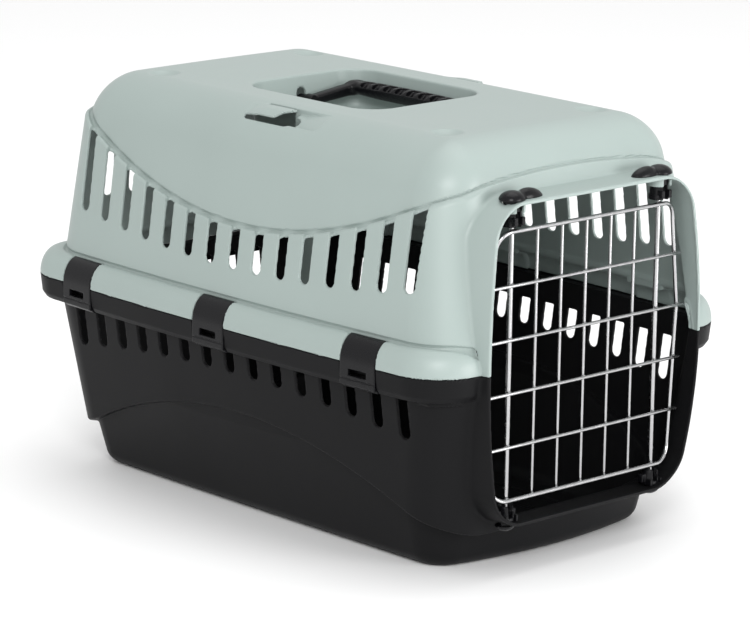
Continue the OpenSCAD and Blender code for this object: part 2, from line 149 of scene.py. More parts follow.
def vents(x, y, z, top, low, corner, shift):
    """Row of slots in each long side: round below, and cut along top, a field, above."""
    first = VENT_Y + np.where(x > 0, shift, 0)
    z = z + far_drop(x)
    i = np.clip(np.round((y - first) / VENT_PITCH), -VENTS, VENTS)
    middle = first + i * VENT_PITCH
    side = np.abs(y - middle) - VENT_R
    return rmax(rmax(side, low(middle) - z, VENT_R - 0.1), top, corner)


def upper_vent_low(y):
    """Bottom of the upper slot at y."""
    return UPPER_VENT_LOW + UPPER_VENT_RISE * (y - SWAG_Y) ** 2


def lower_vent_low(y):
    """Bottom of the lower slot at y."""
    return LOWER_VENT_LOW - LOWER_VENT_FALL * (y - SWAG_Y) ** 2


def end_vents(x, z, top, low):
    """Row of slots in the rear wall."""
    i = np.clip(np.round(x / VENT_PITCH), -END_VENTS, END_VENTS)
    side = np.abs(x - i * VENT_PITCH) - VENT_R
    return rmax(rmax(side, low - z, VENT_R - 0.1), z - top, 1.8)


def flange_x(y):
    """Half width of the flange at y."""
    return HALF_WIDTH - BOW * ((2 * y - FLANGE_FRONT - REAR) / (REAR - FLANGE_FRONT)) ** 2


def clip_turn(k):
    """Angle of the flange's edge at clip k, counted -1, 0, 1 from the front."""
    y = CLIP_Y + k * CLIP_PITCH
    return math.atan((flange_x(y + 5) - flange_x(y - 5)) / 10)


def flange_plan(x, y):
    """Outer outline of the flange."""
    return plan(x, y, HALF_WIDTH, FLANGE_FRONT, REAR, FRONT_R, FLANGE_REAR_R, BOW)


def bezel_outline(x, z, grow, inset=0.0):
    """Front view of the bezel, wider by grow all round and narrower by inset."""
    upper = z > PART
    half = BEZEL_HALF - inset - np.where(upper, 0.0008, 0.0012) * (z - PART) ** 2
    r = np.where(upper, 27.0 - 0.6 * inset, 25.0) - inset + grow
    edge = np.where(upper, z - BEZEL_TOP, SILL - z) - grow * 0.25 + inset
    return rmax(np.abs(x) - half - grow, edge, r)


def bezel_front(z):
    """The bezel's front edge stands furthest forward at the parting plane."""
    return FRONT + BEZEL_LEAN * (z - PART) ** 2


def bezel(x, y, z):
    """Trumpet of the door bezel, solid right across."""
    back = np.maximum(y - FRONT, 0)
    depth = np.maximum(bezel_front(z) - y, y - BEZEL_REAR)
    return rmax(bezel_outline(x, z, BEZEL_FLARE * back), depth, 1.3)


def doorway(x, y, z):
    """Space inside the bezel."""
    back = np.maximum(y - FRONT, 0)
    return np.maximum(bezel_outline(x, z, DOORWAY_FLARE * back, WALL), y - (BEZEL_REAR + 4))


def clip_reach(x, y):
    """Distance along the flange from the middle of the nearest clip."""
    reach = np.full_like(x, 1e3)
    for k in (-1, 0, 1):
        middle, turn = CLIP_Y + k * CLIP_PITCH, clip_turn(k)
        along = (y - middle) * math.cos(turn) + (np.abs(x) - flange_x(middle)) * math.sin(turn)
        reach = np.minimum(reach, np.abs(along))
    return reach


def clip_seats(x, y, z, depth):
    """Room for the clips over the rounded flange, down to depth under its surface."""
    over = np.maximum(z - PART - FLANGE_UP, -flange_plan(x, y) - FLANGE_OUT - 0.5)
    across = clip_reach(x, y) - CLIP_W / 2 - CLIP_GAP
    return rmax(across, np.maximum(over, -(flange_field(x, y, z) + depth)), 0.5)


def flange_field(x, y, z):
    """Upper flange: a quarter of an ellipse from the wall over to the parting plane."""
    u = flange_plan(x, y) + FLANGE_OUT
    v = z - PART
    up, vp = np.maximum(u, 0), np.maximum(v, 0)
    k0 = np.hypot(up / FLANGE_OUT, vp / FLANGE_UP)
    k1 = np.hypot(up / FLANGE_OUT ** 2, vp / FLANGE_UP ** 2) + 1e-9
    curved = k0 * (k0 - 1) / k1
    inside = np.maximum(u - FLANGE_OUT, v - FLANGE_UP)
    beside = np.where(u > 0, u - FLANGE_OUT, inside)
    return np.where((u > 0) & (v > 0), curved, beside)


def swag(x, y):
    """Height of the ledge under the dome: it hangs on the long sides and arches over the ends."""
    side = smin(SWAG_LOW + SWAG_RISE * (y - SWAG_Y) ** 2, SWAG_END, 6)
    arch = ARCH_RISE * np.maximum(0, 1 - (x / ARCH_HALF) ** 2)
    return side + arch * np.clip((np.abs(y - SWAG_Y) - 165) / 32, 0, 1)


def upper_wall(x, y, z):
    """Outer outline of the upper walls at height z."""
    rise = z - PART
    return plan(x, y, WALL_HALF - UPPER_SIDE_LEAN * rise, WALL_FRONT + UPPER_FRONT_LEAN * rise,
                WALL_REAR - UPPER_REAR_LEAN * rise, FRONT_R, REAR_R, BOW)


def dome_form(x, y, z):
    """The dome alone, with its soft roof edge."""
    drop = DOME_Z - z
    sides = plan(x, y, DOME_HALF + 0.265 * drop, DOME_FRONT - 0.14 * drop, DOME_REAR + 0.18 * drop,
                 DOME_FRONT_R + 0.12 * drop, DOME_REAR_R + 0.12 * drop, 2) / 1.03
    return rmax(sides, z - ROOF + ROOF_CROWN * (x * x), DOME_EDGE)


def upper_solid(x, y, z):
    """Outer form of the upper shell, solid right across."""
    side = upper_wall(x, y, z)
    fore = np.clip((-165 - y) / 30, 0, 1)
    round_off = np.clip((np.abs(x) - 78) / 26, 0, 1)
    cove = fore * (1 - round_off) * COVE_RISE * (np.clip(-side - 1.5, 0, 7) / 7) ** 1.7
    ledge = swag(x, y) + cove
    wall = rmax(side, z - ledge, 2.8 - fore * (1.7 - 5.5 * round_off))
    dome = np.maximum(dome_form(x, y, z), side + 2.0)
    body = smin(wall, dome, 1.5)
    body = smax(body, 1.8 - fore - np.hypot(z - ledge, dome), 1.5 - 0.7 * fore)
    body = smin(body, bezel(x, y, z), 2.6)
    flange = flange_field(x, y, z)
    crease = np.where(z < PART + FLANGE_UP + 6, 1.7 - np.hypot(flange, side), -5.0)
    return smax(smin(body, flange, 1.6), crease, 1.2)


def hook_place(x, z):
    """Distance round the roof edge from the flat roof, on either side."""
    ax = np.abs(x)
    round_it = HOOK_R * np.arctan2(ax - HOOK_X, np.maximum(z - HOOK_Z, 1e-3))
    return np.where(ax < HOOK_X, ax - HOOK_X, round_it)


def hook_facet(s, y, body):
    """Ramp that lets a belt slide under the hook's tongue."""
    depth = 4.2 * np.clip((y + 53 + 0.2 * s) / 26, 0, 1)
    return np.maximum(box2(s - 12.5, y + 34, 12.5, 20, 3), -body - depth)


def hook_opening(s, y, body):
    """Opening round the tongue, with a round front end, and a slit along the tongue's top edge."""
    slot = rmax(np.abs(s - 17) - 10, np.where(y < -8, -y - 28, y - 26), np.where(y < -8, 9.9, 4.0))
    slit = box2(s - 4.0, y + 2, 3.8, 17, 1.0)
    return rmax(np.minimum(slot, slit), np.abs(body) - 7, 0.6)


def hook_tongue(s, y, body):
    """Flat tongue, joined to the roof at its rear end and free at its slanting front end."""
    lift = 3.4 * np.clip((s - 1) / 12, 0, 1) * np.clip((24 - y) / 16, 0, 1)
    slant = (-y - 8 + 0.62 * (s - 20)) / 1.18
    outline = rmax(rmax(np.abs(s - 12.2) - 9.2, slant, 1.2), y - 30, 1)
    return rmax(outline, np.abs(body - lift + 1.25) - 1.25, 0.6)


def recess(x, y, z):
    """Hand recess of the roof, open above."""
    draft = 0.14 * (ROOF - z)
    middle, half = (RECESS_Y0 + RECESS_Y1) / 2, (RECESS_Y1 - RECESS_Y0) / 2
    sides = box2(x, y - middle, RECESS_HALF - draft, half - draft, RECESS_R - draft)
    return rmax(sides, RECESS_FLOOR - z, 7.0)


def knob_bores(x, y, z, shell):
    """Cuts the knobs' holes in the lip and adds the two split rings that guide them under it."""
    pin = np.hypot(np.abs(x) - ROD_X, y - PIVOT_Y)
    shell = np.maximum(shell, -np.maximum(pin - 7.2, np.maximum(262 - z, z - 285)))
    ring = rmax(np.abs(pin - 8.4) - 1.1, np.abs(z - 269.3) - 3.0, 0.5)
    split = np.abs(np.abs(x) - ROD_X) - 3.4
    ring = np.maximum(rmax(ring, -split, 0.5), bezel(x, y, z) + 0.3)
    return np.minimum(shell, ring)


def upper_shell(x, y, z):
    """The whole upper moulding."""
    body = smax(upper_solid(x, y, z), -recess(x, y, z), 1.8)
    for cx, cy in DISHES:
        across = np.hypot(np.abs(x) - cx, y - cy)
        body = smax(body, DISH_R - np.hypot(across, z - ROOF - DISH_R + DISH_DEEP), 0.8)
    skin = np.maximum(body, -clip_seats(x, y, z, CLIP_T + 0.2))
    s = hook_place(x, z)
    body = rmax(skin, -hook_facet(s, y, skin), 0.8)
    shell = np.abs(body + WALL / 2) - WALL / 2
    shell = rmax(shell, -doorway(x, y, z), 0.9)
    near_hook = (np.abs(x) > 60) & (z > 270)
    shell = np.where(near_hook, rmax(shell, -hook_opening(s, y, skin), 0.5), shell)
    shell = np.where(near_hook, smin(shell, hook_tongue(s, y, skin), 0.6), shell)
    top = np.maximum(z + far_drop(x) - swag(x, y) - 2.2, -upper_wall(x, y, z) - 4.8)
    side = vents(x, y, z, top, upper_vent_low, 2.4, FAR_UPPER)
    side = np.maximum(side, 60 - np.abs(x))
    end = np.maximum(end_vents(x, z, END_UPPER_TOP, END_UPPER_LOW), 150 - y)
    shell = knob_bores(x, y, z, rmax(shell, -np.minimum(side, end), 0.7))
    arch = np.hypot(x, np.maximum(z - HANDLE_Z - 4, np.minimum(z - HANDLE_Z, 0))) - 4.6
    shell = rmax(shell, -np.maximum(arch, np.abs(y - HANDLE_MID) - PIVOT_SPAN), 0.6)
    return rmax(shell, PART + 0.02 - z, 0.35)


# ------------------------------------------------------------------ meshing
def grid_mesh(field, low, high, step):
    """Vertices and faces of field = 0 in a box, on a grid that is filled only near the surface."""
    block = 5
    low, high = np.array(low, float), np.array(high, float)
    blocks = np.ceil((high - low) / (step * block)).astype(int)
    volume = np.full(blocks * block, 3.0, np.float32)
    middle = [low[i] + (np.arange(blocks[i]) + 0.5) * block * step for i in range(3)]
    coarse = np.meshgrid(*middle, indexing="ij")
    value = field(*(c.ravel().astype(np.float32) for c in coarse)).reshape(blocks)
    near = np.abs(value) < 1.6 * block * step
    volume.reshape(blocks[0], block, blocks[1], block, blocks[2], block)[:] = (
        np.where(value < 0, -3.0, 3.0)[:, None, :, None, :, None])
    index = np.argwhere(near)
    cell = np.stack(np.meshgrid(*[np.arange(block)] * 3, indexing="ij"), -1).reshape(-1, 3)
    for part in np.array_split(index, max(1, len(index) // 20000)):
        ijk = (part[:, None, :] * block + cell[None]).reshape(-1, 3)
        points = (low + ijk * step).astype(np.float32)
        volume[ijk[:, 0], ijk[:, 1], ijk[:, 2]] = field(points[:, 0], points[:, 1], points[:, 2])
    grid = openvdb.FloatGrid(3.0)
    grid.copyFromArray(np.clip(volume, -3, 3))
    points, quads = grid.convertToQuads(0.0)
    return low + points * step, quads


def gradient(field, p, e=0.05):
    """Direction and size of the field's slope at points p."""
    corners = np.array([[1, -1, -1], [-1, -1, 1], [-1, 1, -1], [1, 1, 1]], np.float32)
    g = np.zeros_like(p)
    for c in corners:
        q = p + c * e
        g += field(q[:, 0], q[:, 1], q[:, 2])[:, None] * c
    return g / (4 * e)


def settle(field, p, rounds=3, reach=0.5):
    """Moves points onto the surface along the field's slope, by at most reach each time."""
    for _ in range(rounds):
        g = gradient(field, p)
        d = field(p[:, 0], p[:, 1], p[:, 2])
        size = np.maximum((g * g).sum(1), 0.05)
        move = g * (d / size)[:, None]
        length = np.linalg.norm(move, axis=1)[:, None]
        p = p - move * np.minimum(1, reach / np.maximum(length, 1e-9))
    return p


def lower_solid(x, y, z):
    """Outer form of the lower shell, solid right across."""
    drop = PART - z
    wall = plan(x, y, WALL_HALF - LOWER_SIDE_LEAN * drop, WALL_FRONT + LOWER_FRONT_LEAN * drop,
                WALL_REAR - LOWER_REAR_LEAN * drop, FRONT_R, TUB_REAR_R, BOW)
    arch = smax(STEP_TOP - STEP_FALL * (y - STEP_Y) ** 2, CREASE_Z + CREASE_RISE * x ** 2, 6)
    over = rmax(wall, arch - z, 2.2)
    front = FOOT_FRONT + 11 * (x / 93) ** 2 - 0.25 * z
    r = FOOT_R + 0.16 * z
    foot = plan(x, y, FOOT_HALF + 0.34 * z, front, FOOT_REAR + 0.22 * z, r, r, 1 + 0.1 * z)
    foot = np.maximum(rmax(foot, -z, FOOT_EDGE), wall + 4)
    body = smin(over, foot, 2.5)
    return smin(body, bezel(x, y, z), 3.0)


def lower_skirt(x, y, z, body):
    """The flange's lower half: a skirt, a shelf, and cheeks and notches at the clips."""
    drop = np.clip(PART - z, 0, FLANGE_DOWN)
    taper = 1.6 * drop / 14 + 0.6 * np.maximum(0, drop - 14)
    rim = smin(flange_plan(x, y) + taper, bezel(x, y, z), 2.6)
    skirt = np.maximum(np.abs(rim + WALL / 2) - WALL / 2, PART - FLANGE_DOWN - z)
    lug = box2(np.abs(x) - 124, y + 206, 16, 40, 2.0)
    skirt = np.minimum(skirt, np.maximum(np.maximum(rim + 4.5, lug), PART - FLANGE_DOWN - 4 - z))
    reach = clip_reach(x, y)
    band = np.maximum(rim, -rim - 16)
    blocks = np.maximum(np.abs(reach - CLIP_W / 2 - 2.4) - 1.6, 60 - np.abs(x))
    cheeks = np.maximum(np.maximum(band, blocks), PART - FLANGE_DOWN - z)
    shelf = np.maximum(band, PART - WALL - z)
    skirt = np.minimum(np.minimum(skirt, cheeks), np.maximum(shelf, -body - WALL))
    skirt = np.maximum(skirt, -body - WALL)
    notch = rmax(reach - CLIP_W / 2 - CLIP_GAP, -(rim + CLIP_T + 0.5), 0.4)
    return rmax(skirt, -notch, 0.5)


def locating_rib(x, y, z):
    """Low ribs at the parting plane that centre the upper shell. They step inwards at the clips."""
    seat = clip_reach(x, y) - CLIP_W / 2 - CLIP_GAP
    rib = np.maximum(np.abs(flange_plan(x, y) + WALL + 1.4) - 0.8, np.abs(z - PART + 2) - 3.2)
    rib = np.maximum(rib, 0.5 - seat)
    behind = np.maximum(np.abs(flange_plan(x, y) + 7.1) - 0.8, np.abs(z - PART + 3.5) - 4.7)
    rib = np.minimum(rib, np.maximum(behind, seat - 4))
    return np.maximum(rib, -bezel_outline(x, z, 0) + 1)


def lower_shell(x, y, z):
    """The whole lower moulding."""
    body = lower_solid(x, y, z)
    shell = np.abs(body + WALL / 2) - WALL / 2
    lines = np.clip(np.round(x / VENT_PITCH), -END_VENTS, END_VENTS) * VENT_PITCH
    ribs = np.maximum(np.abs(x - lines) - 1.5, np.abs(z - 3) - 1.6)
    shell = np.minimum(shell, np.maximum(ribs, np.abs(y) - 160))
    shell = np.minimum(shell, lower_skirt(x, y, z, body))
    shell = rmax(shell, -doorway(x, y, z), 0.9)
    top = z + far_drop(x) - (PART - FLANGE_DOWN + 1.6)
    side = vents(x, y, z, top, lower_vent_low, 1.2, FAR_LOWER)
    side = np.maximum(side, np.maximum(60 - np.abs(x), -body - WALL - 1.5))
    end = np.maximum(end_vents(x, z, PART - FLANGE_DOWN + 6, END_LOWER_LOW), 150 - y)
    shell = rmax(shell, -np.maximum(np.minimum(side, end), body - 0.8), 0.7)
    sockets = np.maximum(np.hypot(np.abs(x) - ROD_X, y - PIVOT_Y) - 4.5, np.abs(z - SILL) - 8)
    shell = rmax(np.maximum(shell, -sockets), z - PART + 0.02, 0.35)
    return np.minimum(shell, locating_rib(x, y, z))


# ------------------------------------------------------------------ pieces
def mesh_piece(name, points, faces, body, material, node, field=None, most=0, crisp=0.8):
    """Makes one object from points in millimetres, in place of one CAD node.

    With a field, its corner normals follow the field. Above most triangles it is reduced."""
    mesh = bpy.data.meshes.new(name)
    points = np.asarray(points, float)
    faces = np.asarray(faces)
    mesh.vertices.add(len(points))
    mesh.vertices.foreach_set("co", (points * MM).ravel())
    n = faces.shape[1]
    triangles = faces.size - 2 * len(faces)
    mesh.loops.add(faces.size)
    mesh.loops.foreach_set("vertex_index", faces.ravel().astype(np.int32))
    mesh.polygons.add(len(faces))
    mesh.polygons.foreach_set("loop_start", np.arange(0, faces.size, n, dtype=np.int32))
    mesh.update(calc_edges=True)
    piece = bpy.data.objects.new(name, mesh)
    bpy.context.scene.collection.objects.link(piece)
    if most and triangles > most:
        reduce = piece.modifiers.new("reduce", "DECIMATE")
        reduce.ratio = most / triangles
        depsgraph = bpy.context.evaluated_depsgraph_get()
        reduced = bpy.data.meshes.new_from_object(piece.evaluated_get(depsgraph))
        piece.modifiers.clear()
        piece.data = mesh = reduced
        mesh.name = name
    mesh.polygons.foreach_set("use_smooth", np.ones(len(mesh.polygons), bool))
    if field is not None:
        field_normals(mesh, field, crisp)
    mesh.materials.clear()
    mesh.materials.append(material)
    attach(piece, body)
    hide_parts(node)
    return piece


def field_normals(mesh, field, crisp):
    """Sets each corner's normal from the field, sampled a little inside its own face."""
    co = np.zeros(len(mesh.vertices) * 3, np.float32)
    mesh.vertices.foreach_get("co", co)
    co = co.reshape(-1, 3) / MM
    corner = np.zeros(len(mesh.loops), np.int32)
    mesh.loops.foreach_get("vertex_index", corner)
    sizes = np.zeros(len(mesh.polygons), np.int32)
    mesh.polygons.foreach_get("loop_total", sizes)
    middle = np.zeros(len(mesh.polygons) * 3, np.float32)
    mesh.polygons.foreach_get("center", middle)
    facing = np.zeros(len(mesh.polygons) * 3, np.float32)
    mesh.polygons.foreach_get("normal", facing)
    middle = np.repeat(middle.reshape(-1, 3) / MM, sizes, axis=0)
    facing = np.repeat(facing.reshape(-1, 3), sizes, axis=0)
    p = co[corner]
    to_middle = middle - p
    reach = np.linalg.norm(to_middle, axis=1, keepdims=True)
    p = p + to_middle * np.minimum(0.66, crisp / np.maximum(reach, 1e-6))
    p = settle(field, p, rounds=1, reach=0.4)
    g = gradient(field, p)
    g /= np.maximum(np.linalg.norm(g, axis=1, keepdims=True), 1e-9)
    wrong = (g * facing).sum(1) < 0.6
    g[wrong] = facing[wrong]
    mesh.normals_split_custom_set(g)


def shell_piece(name, field, low, high, material, node):
    """One half of the shell, between two heights."""
    half_x, half_y = SHELL_BOX
    points, quads = grid_mesh(field, (-half_x, -half_y, low), (half_x, half_y, high), SHELL_STEP)
    points = settle(field, points.astype(np.float32))
    return mesh_piece(name, points, quads[:, ::-1], "root", material, node, field, MOST_TRIANGLES)


# ------------------------------------------------------------------ materials
def node_of(tree, kind, **values):
    """Adds a shader node and sets the named inputs that have plain values."""
    n = tree.nodes.new(kind)
    for key, value in values.items():
        n.inputs[key.replace("_", " ")].default_value = value
    return n


def moulded(name, colour, rough, grain, grain_size, depth, gloss_spread=0.05, level=0.5):
    """Injection-moulded plastic: fine grain, soft gloss variation and a faint colour drift."""
    material = bpy.data.materials.new(name)
    material.use_nodes = True
    tree = material.node_tree
    link = tree.links.new
    shader = tree.nodes["Principled BSDF"]
    place = tree.nodes.new("ShaderNodeTexCoord")
    fine = node_of(tree, "ShaderNodeTexNoise", Scale=1 / grain_size, Detail=3.0, Roughness=0.55)
    broad = node_of(tree, "ShaderNodeTexNoise", Scale=14.0, Detail=2.0, Roughness=0.5)
    for n in (fine, broad):
        link(place.outputs["Object"], n.inputs["Vector"])
    tint = tree.nodes.new("ShaderNodeMix")
    tint.data_type = "RGBA"
    tint.inputs["A"].default_value = (*[c * 0.965 for c in colour], 1)
    tint.inputs["B"].default_value = (*[min(1, c * 1.03) for c in colour], 1)
    link(broad.outputs["Fac"], tint.inputs["Factor"])
    link(tint.outputs["Result"], shader.inputs["Base Color"])
    gloss = node_of(tree, "ShaderNodeMapRange", From_Min=0.3, From_Max=0.7,
                    To_Min=rough - gloss_spread, To_Max=rough + gloss_spread)
    blend = tree.nodes.new("ShaderNodeMath")
    blend.operation = "ADD"
    half = tree.nodes.new("ShaderNodeMath")
    half.operation = "MULTIPLY"
    half.inputs[1].default_value = 0.5
    link(fine.outputs["Fac"], blend.inputs[0])
    link(broad.outputs["Fac"], blend.inputs[1])
    link(blend.outputs["Value"], half.inputs[0])
    link(half.outputs["Value"], gloss.inputs["Value"])
    link(gloss.outputs["Result"], shader.inputs["Roughness"])
    bump = node_of(tree, "ShaderNodeBump", Strength=grain, Distance=depth)
    link(fine.outputs["Fac"], bump.inputs["Height"])
    link(bump.outputs["Normal"], shader.inputs["Normal"])
    shader.inputs["IOR"].default_value = 1.49
    shader.inputs["Specular IOR Level"].default_value = level
    return material


def plated(name, colour):
    """Bright plated wire with faint drawing lines and cloudy spots."""
    material = bpy.data.materials.new(name)
    material.use_nodes = True
    tree = material.node_tree
    link = tree.links.new
    shader = tree.nodes["Principled BSDF"]
    shader.inputs["Metallic"].default_value = 1.0
    place = tree.nodes.new("ShaderNodeTexCoord")
    cloud = node_of(tree, "ShaderNodeTexNoise", Scale=160.0, Detail=4.0, Roughness=0.6)
    fine = node_of(tree, "ShaderNodeTexNoise", Scale=2500.0, Detail=2.0, Roughness=0.5)
    for n in (cloud, fine):
        link(place.outputs["Object"], n.inputs["Vector"])
    tint = tree.nodes.new("ShaderNodeMix")
    tint.data_type = "RGBA"
    tint.inputs["A"].default_value = (*[c * 0.86 for c in colour], 1)
    tint.inputs["B"].default_value = (*colour, 1)
    link(cloud.outputs["Fac"], tint.inputs["Factor"])
    link(tint.outputs["Result"], shader.inputs["Base Color"])
    gloss = node_of(tree, "ShaderNodeMapRange", From_Min=0.3, From_Max=0.7, To_Min=0.16, To_Max=0.30)
    link(cloud.outputs["Fac"], gloss.inputs["Value"])
    link(gloss.outputs["Result"], shader.inputs["Roughness"])
    bump = node_of(tree, "ShaderNodeBump", Strength=0.12, Distance=0.00002)
    link(fine.outputs["Fac"], bump.inputs["Height"])
    link(bump.outputs["Normal"], shader.inputs["Normal"])
    return material


SAGE = moulded("sage_plastic", (0.305, 0.364, 0.346), 0.40, 0.20, 0.0009, 0.00004, level=0.5)
CHARCOAL = moulded("charcoal_plastic", (0.0068, 0.0068, 0.0074), 0.46, 0.35, 0.0008, 0.00005, level=0.10)
BLACK = moulded("black_plastic", (0.0042, 0.0042, 0.0052), 0.28, 0.14, 0.0007, 0.00003, level=0.22)
STEEL = plated("plated_steel", (0.50, 0.50, 0.505))


# ------------------------------------------------------------------ the shells
shell_piece("visual_upper_shell", upper_shell, 148, 318, SAGE, "upper_shell")
shell_piece("visual_lower_shell", lower_shell, -4, 158, CHARCOAL, "lower_shell")


# ------------------------------------------------------------------ small mouldings
def solid_piece(name, field, low, high, step, body, node):
    """A black moulding from its field, between two corners."""
    step *= COARSER
    points, quads = grid_mesh(field, low, high, step)
    points = settle(field, points.astype(np.float32), reach=step / 2)
    faces = quads[:, ::-1]
    return mesh_piece(name, points, faces, body, BLACK, node, field, crisp=step * 0.7)


def ellipsoid(u, v, w, ru, rv, rw):
    """Ellipsoid of half sizes ru, rv and rw."""
    k0 = np.sqrt((u / ru) ** 2 + (v / rv) ** 2 + (w / rw) ** 2)
    k1 = np.sqrt((u / ru ** 2) ** 2 + (v / rv ** 2) ** 2 + (w / rw ** 2) ** 2) + 1e-9
    return k0 * (k0 - 1) / k1


def rod_bore(u, v, w, low, high):
    """Snap slot for a rod, open to the front."""
    hole = np.minimum(np.hypot(u, v) - 2.3, np.maximum(np.abs(u) - 2.2, v))
    return np.maximum(hole, np.abs(w - (low + high) / 2) - (high - low) / 2)


KNOB_BASE = BEZEL_TOP + 0.1
KNOB_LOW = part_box("door_knob_left")[0][2] / MM
ROD_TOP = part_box("door_rod_left")[1][2] / MM
ROD_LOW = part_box("door_rod_left")[0][2] / MM


def knob_field(side):
    """Latch knob: a cap with a thumb lever, a barrel through the lip and a collar and hook below."""
    def field(x, y, z):
        u, v, w = ROD_X - side * x, y - PIVOT_Y, z - KNOB_BASE
        droop = 0.10 * np.maximum(u - 12, 0)
        lever = ellipsoid(u - 16.0, v + 0.3, w + droop, 13.2, 6.4, 7.4)
        cap = rmax(smin(ellipsoid(u, v, w, 10.2, 9.4, 6.8), lever, 1.6), -w, 0.9)
        barrel = rmax(np.hypot(u, v) - 6.7, np.maximum(w, KNOB_LOW - z), 1.0)
        collar = rmax(np.hypot(u, v) - 7.6, np.abs(z - KNOB_LOW - 2.0) - 1.9, 0.6)
        hook = rmax(box2(u, v + 5.5, 5.4, 3.2, 1.0), np.abs(z - KNOB_LOW - 4.5) - 3.0, 0.8)
        body = smin(np.minimum(np.minimum(barrel, collar), hook), cap, 0.8)
        return rmax(body, -rod_bore(u, v, z, KNOB_LOW - 5, ROD_TOP + 1), 0.5)
    return field


FOOT_FLOOR = SILL + WALL


def foot_field(side):
    """Holder of a rod's lower end, on the sill."""
    def field(x, y, z):
        u, v = ROD_X - side * x, y - PIVOT_Y
        taper = 0.10 * (z - FOOT_FLOOR)
        barrel = rmax(np.hypot(u, v) - 6.9 + taper, np.abs(z - FOOT_FLOOR - 6) - 6, 1.2)
        tabs = rmax(box2(u, v - 1, 9.5, 2.5, 0.8), np.abs(z - FOOT_FLOOR - 5.2) - 3.0, 0.8)
        ribs = rmax(box2(np.abs(u) - 5.2, v + 1, 1.1, 6.4, 0.5), np.abs(z - FOOT_FLOOR - 2.6) - 2.5, 0.5)
        stem = np.maximum(np.hypot(u, v) - 4.2, np.abs(z - SILL - 1.5) - 3)
        lug = rmax(ellipsoid(u, v, z - SILL, 7.6, 7.0, 4.6), z - SILL + 0.1, 0.5)
        body = smin(np.minimum(barrel, ribs), tabs, 0.8)
        body = np.minimum(np.minimum(body, stem), lug)
        return rmax(body, -rod_bore(u, v, z, ROD_LOW - 0.5, 70), 0.5)
    return field


HINGE_Z, HINGE_IN, HINGE_R = PART - 15, 6, 4


def clip_field(side, k):
    """Clip over the flange: a curved plate with a window, hung on a pin under the lower shell's edge."""
    middle, turn = CLIP_Y + k * CLIP_PITCH, clip_turn(k)
    out, curve = FLANGE_OUT + 1, FLANGE_UP

    def field(x, y, z):
        da, db = side * x - flange_x(middle), y - middle
        a = da * math.cos(turn) - db * math.sin(turn)
        b = db * math.cos(turn) + da * math.sin(turn)
        u, v = a + out, z - PART
        up, vp = np.maximum(u, 0), np.maximum(v, 0)
        k0 = np.hypot(up / out, vp / curve)
        k1 = np.hypot(up / out ** 2, vp / curve ** 2) + 1e-9
        face = np.where(v > 0, np.where(u > 0, k0 * (k0 - 1) / k1, v - curve), u - out)
        plate = np.abs(face + CLIP_T / 2) - CLIP_T / 2
        plate = rmax(plate, np.maximum(2.2 - u, HINGE_Z - 1.5 - z), 1.2)
        barrel = np.hypot(a + HINGE_IN, z - HINGE_Z) - HINGE_R
        body = smin(plate, barrel, 1.5)
        body = rmax(body, np.abs(b) - CLIP_W / 2, 0.9)
        window = rmax(box2(b, z - PART + 6.5, 9, 2.5, 0.6), np.abs(a + 1) - 4, 0.5)
        body = rmax(body, -window, 0.5)
        groove = rmax(np.abs(z - HINGE_Z - 3.4) - 0.5, -a - 0.5, 0.2)
        body = rmax(body, -groove, 0.3)
        pin = np.maximum(np.hypot(a + HINGE_IN, z - HINGE_Z) - 1.6, np.abs(b) - CLIP_W / 2 - 3)
        return np.minimum(body, pin)
    return field


HANDLE_REACH, GRIP_Y0, GRIP_Y1 = 47.0, -57.0, 77.0
GRIP_Z = HANDLE_Z + 5.5
ARM_IN = 4.5
POCKETS, POCKET_PITCH, POCKET_LEAN = 8, 13.0, math.radians(32)


def handle_field(x, y, z):
    """Carry handle, lying to the right: a grip with pockets, two arms and their pivot pins."""
    v = y - (GRIP_Y0 + GRIP_Y1) / 2
    half = (GRIP_Y1 - GRIP_Y0) / 2
    swell = 1.4 * np.clip(np.abs(v) / half, 0, 1) ** 3
    grip = rmax(np.abs(x - HANDLE_REACH) - 7.6 + swell * 0.4, np.abs(z - GRIP_Z) - 5.8 + swell, 4.6)
    arm_z = HANDLE_Z + 5.0 * np.clip(x / HANDLE_REACH, 0, 1)
    beside = np.abs(np.abs(v) - half + ARM_IN) - 4.4
    arms = rmax(beside, np.abs(z - arm_z) - 4.0 - 0.8 * np.clip(x / 40, 0, 1), 3.0)
    arms = np.maximum(arms, -x)
    eye = rmax(np.hypot(x, z - HANDLE_Z) - 5, beside, 1.0)
    arms = smin(arms, eye, 1.0)
    body = smin(np.maximum(grip, np.abs(v) - half), np.maximum(arms, x - HANDLE_REACH), 5.0)
    outline = rmax(x - HANDLE_REACH - 8, np.abs(v) - half, 18.0)
    body = rmax(body, outline, 3.0)
    pin = rmax(np.hypot(x, z - HANDLE_Z) - 4, np.abs(np.abs(v) - half - 1) - 6, 0.6)
    i = np.clip(np.round(v / POCKET_PITCH - 0.5), -POCKETS // 2, POCKETS // 2 - 1) + 0.5
    cos, sin = math.cos(POCKET_LEAN), math.sin(POCKET_LEAN)
    across = (x - HANDLE_REACH) * cos + (z - GRIP_Z) * sin
    rise = (z - GRIP_Z) * cos - (x - HANDLE_REACH) * sin
    pocket = box2(across, v - i * POCKET_PITCH, 4.6, 5.1, 2.2)
    pocket = rmax(pocket, 2.6 - rise, 1.2)
    return np.minimum(rmax(body, -pocket, 0.7), pin)


